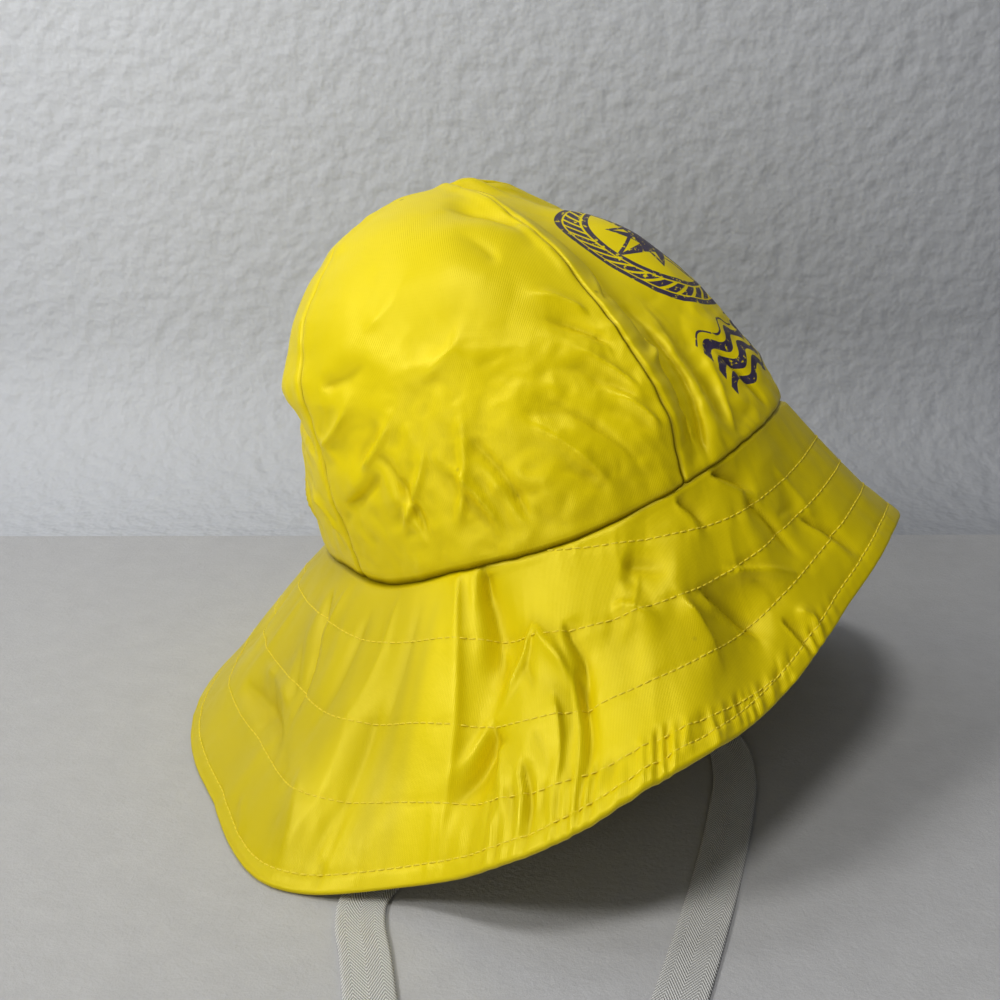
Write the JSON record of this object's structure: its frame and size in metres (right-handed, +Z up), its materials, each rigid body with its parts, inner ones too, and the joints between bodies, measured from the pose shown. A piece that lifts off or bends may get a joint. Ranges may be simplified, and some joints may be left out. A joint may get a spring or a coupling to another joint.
{
  "type": "sou wester rain hat",
  "caption": "Yellow coated-cloth rain hat with a panelled crown, a wide sloping stitched brim and two cotton tie tapes, lying on a table with its front raised.",
  "frame": {"origin": "on the table, under the middle of the crown and brim's bounding box", "axes": "+X to the front of the hat, -Y to its right side, +Z up"},
  "size_m": [0.2836, 0.5497, 0.212],
  "materials": {
    "yellow_cloth": "satin coated cloth",
    "brim_cloth": "satin coated cloth, two layers stitched",
    "twill_tape": "matt herringbone cotton"
  },
  "bodies": {
    "root": {"crown_front_panel": "yellow_cloth", "crown_right_panel": "yellow_cloth", "crown_back_panel": "yellow_cloth", "crown_left_panel": "yellow_cloth", "brim": "brim_cloth", "right_tie_tape": "twill_tape", "left_tie_tape": "twill_tape"}
  },
  "joints": []
}
